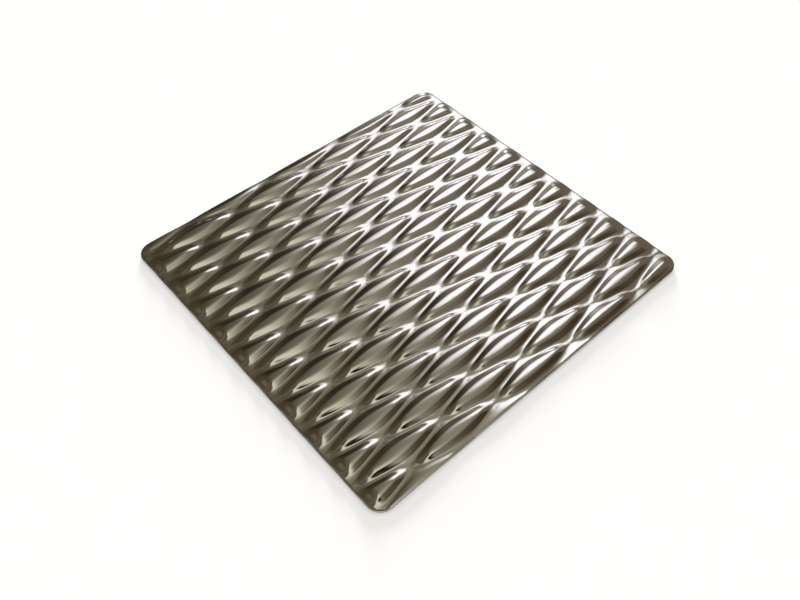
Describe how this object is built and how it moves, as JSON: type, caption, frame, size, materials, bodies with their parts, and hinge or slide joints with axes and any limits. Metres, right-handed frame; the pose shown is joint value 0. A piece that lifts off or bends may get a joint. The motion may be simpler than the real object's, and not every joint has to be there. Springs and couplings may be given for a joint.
{
  "type": "embossed stainless steel sheet",
  "caption": "Thin square sheet of bright stainless steel with rounded corners, embossed with staggered rows of raised leaves.",
  "frame": {"origin": "middle of the flat underside", "axes": "+Z out of the embossed face, +Y along the raised leaves, +X along their rows; the rows are turned about one and a half degrees and the leaves half a degree against both"},
  "size_m": [0.1, 0.1, 0.0015],
  "materials": {
    "polished_steel": "bright polished stainless steel, embossed after polishing"
  },
  "bodies": {
    "root": {"sheet": "polished_steel"}
  },
  "joints": []
}
